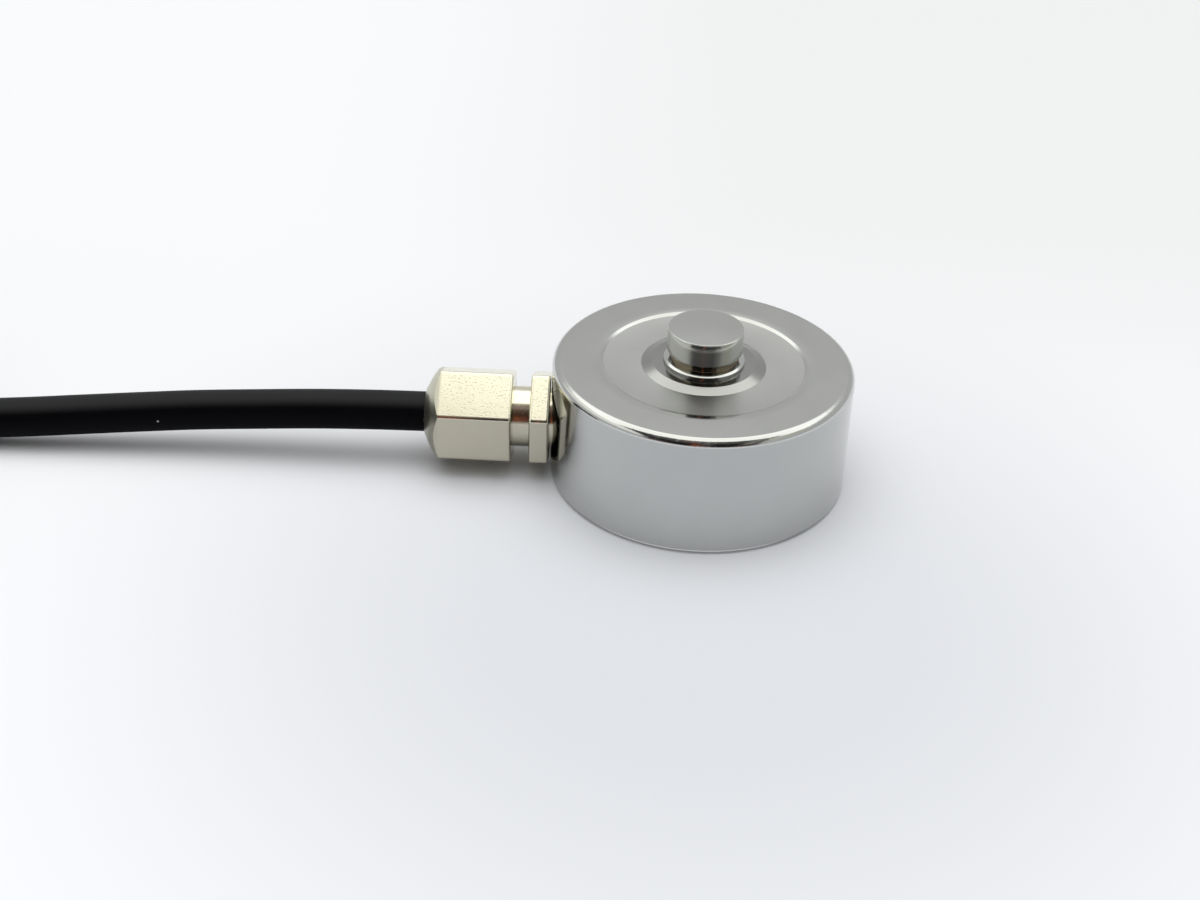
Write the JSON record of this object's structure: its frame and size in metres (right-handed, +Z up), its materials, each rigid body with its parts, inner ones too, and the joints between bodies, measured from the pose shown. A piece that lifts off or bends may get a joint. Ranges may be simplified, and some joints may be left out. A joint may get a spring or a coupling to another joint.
{
  "type": "button load cell",
  "caption": "Miniature round compression force sensor with a central load button, a tapped base, a hexagon cable gland at the side and a thin black cable with free leads.",
  "frame": {"origin": "centre of the body's base, on the surface that it stands on", "axes": "+Z up out of the load button, -X along the cable gland"},
  "size_m": [0.1414, 0.0308, 0.0133],
  "materials": {
    "body_steel": "fine turned and polished stainless steel",
    "cover_steel": "satin",
    "gauge_foil": "amber polyimide carrier with foil grid",
    "copper_wire": "enamelled copper",
    "board": "glass fibre board with green mask",
    "resistor": "chip resistor with tinned ends",
    "core_red": "smooth insulation",
    "core_black": "smooth insulation",
    "core_green": "smooth insulation",
    "core_white": "smooth insulation",
    "braid": "tinned copper braid, twisted",
    "gland_nickel": "nickel-plated brass, slightly warm",
    "seal_rubber": "soft matt rubber",
    "washer_brass": "plain",
    "cable_jacket": "matt black jacket",
    "tie_plastic": "satin coated twist tie"
  },
  "bodies": {
    "root": {"sensor_body": "body_steel", "base_cover": "cover_steel", "strain_gauge_1": "gauge_foil", "strain_gauge_2": "gauge_foil", "strain_gauge_3": "gauge_foil", "strain_gauge_4": "gauge_foil", "gauge_wires": "copper_wire", "bridge_board": "board", "trim_resistors": "resistor", "core_red": "core_red", "core_black": "core_black", "core_green": "core_green", "core_white": "core_white", "gland_body": "gland_nickel", "gland_nut": "gland_nickel", "gland_seal": "seal_rubber", "gland_washer": "washer_brass", "cable_entry": "cable_jacket", "cable": "cable_jacket", "cable_hank": "cable_jacket", "hank_tie_near": "tie_plastic", "hank_tie_far": "tie_plastic", "lead_red": "core_red", "lead_black": "core_black", "lead_green": "core_green", "lead_white": "core_white", "lead_shield": "braid"}
  },
  "joints": []
}
